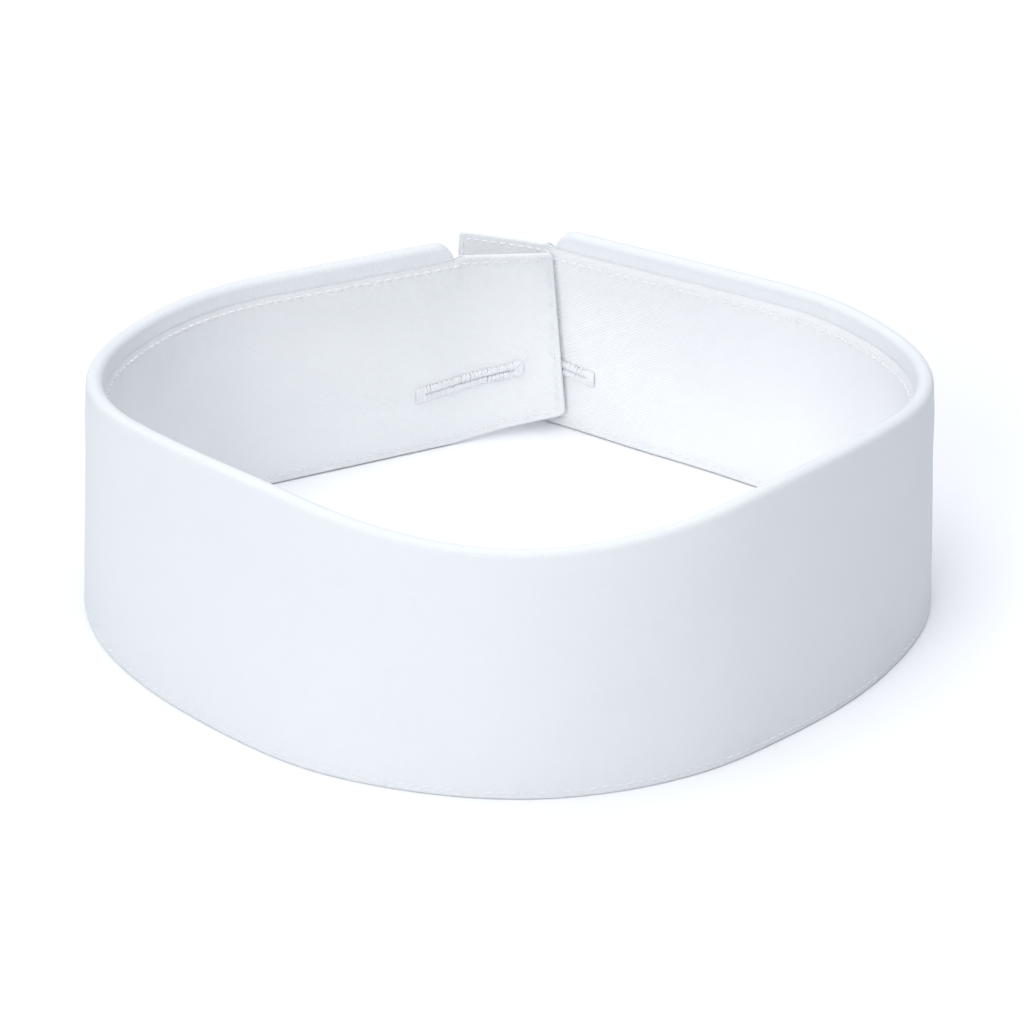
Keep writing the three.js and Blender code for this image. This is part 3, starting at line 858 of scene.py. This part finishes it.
# Mercerised thread: swollen in lye, so rounder and brighter than the cloth. Its twist is drawn
# coarser than life so that it shows, at 0.57 mm to the turn.
mercerised, tree = new_material("mercerised_cotton_thread")
here, u, v = cloth_coordinates(tree)
twist = add_node(tree, "TexWave", {"bands_direction": "DIAGONAL"}, {
    "Vector": here, "Scale": 1100.0, "Distortion": 2.0, "Detail": 2.0})
# the colour follows the twist's bump, a shade darker where the thread lies low: painted shade in the
# grooves of the twist
tone = add_node(tree, "MixRGB", links={
    "Fac": twist.outputs["Fac"], 1: to_linear("#eaebee"), 2: to_linear("#f3f4f6")})
bump = add_node(tree, "Bump", links={
    "Strength": 0.3, "Distance": 0.00003, "Height": twist.outputs["Fac"]})
shader = add_node(tree, "BsdfPrincipled", links={
    "Base Color": tone.outputs[0], "Roughness": 0.5, "IOR": 1.46, "Sheen Weight": 0.15,
    "Normal": bump.outputs[0]})
add_node(tree, "OutputMaterial", links={"Surface": shader.outputs[0]})

row_gap = 1.9  # a row along an edge stops this far from the end, where the end row crosses
past_step = 2  # the tab's outer row starts this far past the leaf
hem_rise, hem_thread = 0.0, 0.26  # the hem's finer thread is pressed level with the cloth
across_row = (0, 0, 1)
up_row = (1, 0, 0)


def top_spot(d, lean):
    return d, stand_top(d) - top_row(d) + lean


def bottom_spot(d, lean):
    return d, stand_bottom(d) + bottom_row + lean


def hem_spot(d, lean):
    return d, hem_row + lean + 0 * d


def leaf_face(s, z):
    """n of the leaf's outer face, well below the roll."""
    to_end = of_half(s, "leaf_end") - np.abs(s)
    centre = roll_top(s) - roll_radius - corner_cut(to_end, roll_end_corner)
    return roll_centre + roll_radius + leaf_bow(s, centre - z, centre)


def leaf_under_face(s, z):
    return leaf_face(s, z) - leaf_thickness


stop_left, stop_right = left["end"] - row_gap, right["end"] - row_gap
top_seam = make_thread("stand_top_seam", [
    stitch_run(-stop_left, stop_right, top_spot, inner_cloth_face, -1, across_row),
    stitch_run(-stop_left, -left["leaf_end"] - past_step, top_spot, outer_cloth_face, 1,
               across_row),
    stitch_run(right["leaf_end"] + past_step, stop_right, top_spot, outer_cloth_face, 1,
               across_row)], mercerised)
bottom_seam = make_thread("stand_bottom_seam", [
    stitch_run(-stop_left, stop_right, bottom_spot, inner_cloth_face, -1, across_row),
    stitch_run(-stop_left, stop_right, bottom_spot, outer_cloth_face, 1, across_row)], mercerised)
leaf_stop_left, leaf_stop_right = left["leaf_end"] - row_gap, right["leaf_end"] - row_gap
hem_seam = make_thread("leaf_hem_seam", [
    stitch_run(-leaf_stop_left, leaf_stop_right, hem_spot, leaf_face, 1, across_row,
               hem_rise, hem_thread),
    stitch_run(-leaf_stop_left, leaf_stop_right, hem_spot, leaf_under_face, -1, across_row,
               hem_rise, hem_thread)],
    mercerised)
for piece in (top_seam, bottom_seam, hem_seam):
    turns_with_halves(piece)
    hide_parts(*both(piece.name))

for side, half, body in ((-1, left, "left_half"), (1, right, "right_half")):
    stand_at = side * (half["end"] - end_row)
    leaf_at = side * (half["leaf_end"] - end_row)
    low = float(stand_bottom(np.array(stand_at))) + bottom_row
    high = float(stand_top(np.array(stand_at)) - top_row(stand_at))
    leaf_high = float(roll_top(np.array(leaf_at))) - roll_radius - 2.0
    ending = "left" if side < 0 else "right"

    def stand_end_spot(d, lean, at=stand_at):
        return at + lean, d

    def leaf_end_spot(d, lean, at=leaf_at):
        return at + lean, d

    stand_end = make_thread("stand_end_stitches_" + ending, [
        stitch_run(low, high, stand_end_spot, inner_cloth_face, -1, up_row),
        stitch_run(low, high, stand_end_spot, outer_cloth_face, 1, up_row)], mercerised)
    leaf_end = make_thread("leaf_end_stitches_" + ending, [
        stitch_run(hem_row, leaf_high, leaf_end_spot, leaf_face, 1, up_row),
        stitch_run(hem_row, leaf_high, leaf_end_spot, leaf_under_face, -1, up_row)], mercerised)
    for piece, node in ((stand_end, "stand_end_seam_"), (leaf_end, "leaf_end_seam_")):
        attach(piece, body)
        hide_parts(node + ending)


# ---------- stud holes ----------
# Each slit is bound by hand-guided satin stitch: threads go round its cut edge side by side, so
# two plump lips nearly close over it, and a bar of stitches across each end stops it tearing.

lip_width = 1.15
wrap_gap = 0.36
lip_thread = 0.37


def hole_path(side, along, across, n):
    s, z = hole_spot(side, along, across)
    return np.stack(np.broadcast_arrays(s, n, z), -1)


def lip(side, upper):
    """The threads of one lip, each from the inner face through the slit to the outer face."""
    count = int(slit_length / wrap_gap)
    d = (np.arange(count) + 0.5) / count * slit_length - slit_length / 2
    d = d[:, None] + rng.uniform(-0.04, 0.04, (count, 1))
    reach = slit_width / 2 + lip_width + rng.uniform(-0.08, 0.06, (count, 1))
    plump = rng.uniform(0.85, 1.15, (count, 1))
    slack = rng.uniform(-0.05, 0.05, (count, 1))
    across = np.array([1.0, 0.98, 0.85, 0.6, 0.35, 0.12, 0.06, 0.12, 0.35, 0.6, 0.85, 0.98, 1.0])
    inner = np.array([0.12, -0.05, -0.24, -0.4, -0.42, -0.26, 0.5, 0, 0, 0, 0, 0, 0])
    outer = np.array([0, 0, 0, 0, 0, 0, 0, 0.1, 0.14, 0.14, 0.1, 0.02, -0.12])
    outer_face = inner_face + tab_thickness
    n = np.where(np.arange(13) < 7, inner_face + inner * plump, outer_face + outer * plump)
    n[:, 6] = inner_face + tab_meet
    start = slit_width / 2 - 0.06
    path = hole_path(side, d + slack * across, upper * (start + (reach - start) * across), n)
    swell_of_thread = np.array([0.4, 0.8, 1, 1.1, 1.1, 1, 1, 1, 1.1, 1.1, 1, 0.8, 0.4])
    widths = lip_thread * swell_of_thread * np.ones((count, 1))
    return spin(path, widths, (side, 0, hole_tilt))


def bar(side, end):
    """The stitches across one end of the slit, on both faces."""
    count = int(bar_length / wrap_gap) + 1
    d = end * (slit_length / 2 + 0.1 + np.arange(count) * bar_length / count)[:, None]
    u = np.array([-1, -0.97, -0.8, -0.4, 0, 0.4, 0.8, 0.97, 1])[None, :]
    reach = slit_width / 2 + lip_width + 0.12 + rng.uniform(-0.1, 0.1, (count, 1))
    lift = np.array([-0.12, 0.02, 0.14, 0.22, 0.24, 0.22, 0.14, 0.02, -0.12])[None, :]
    swell_of_thread = np.array([0.4, 0.8, 1, 1, 1, 1, 1, 0.8, 0.4])
    widths = lip_thread * 1.1 * swell_of_thread * np.ones((count, 1))
    return [
        spin(hole_path(side, d, u * reach, inner_face - lift), widths, (side, 0, hole_tilt)),
        spin(hole_path(side, d, u * reach, inner_face + tab_thickness + lift * 0.45), widths,
             (side, 0, hole_tilt))]


def loose_end(side):
    """The cut tail of the binding thread, springing up from the end nearest the edge."""
    u = np.linspace(0, 1, 9)[None, :]
    path = hole_path(side, slit_length / 2 - 1.2 + 3.4 * u, 0.2 + 2.4 * u ** 1.4,
                     inner_face - 0.3 - 0.45 * np.sin(np.pi * u * 0.7))
    widths = lip_thread * 0.75 * np.ones((1, 9))
    return spin(path, widths, (0, -0.5, 0.85))


for side, body in ((-1, "left_half"), (1, "right_half")):
    threads = [lip(side, 1), lip(side, -1), *bar(side, 1), *bar(side, -1)]
    if side < 0:
        threads.append(loose_end(side))
    ending = "left" if side < 0 else "right"
    binding = make_thread("buttonhole_binding_" + ending, threads, mercerised)
    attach(binding, body)
    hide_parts("buttonhole_stitching_" + ending)
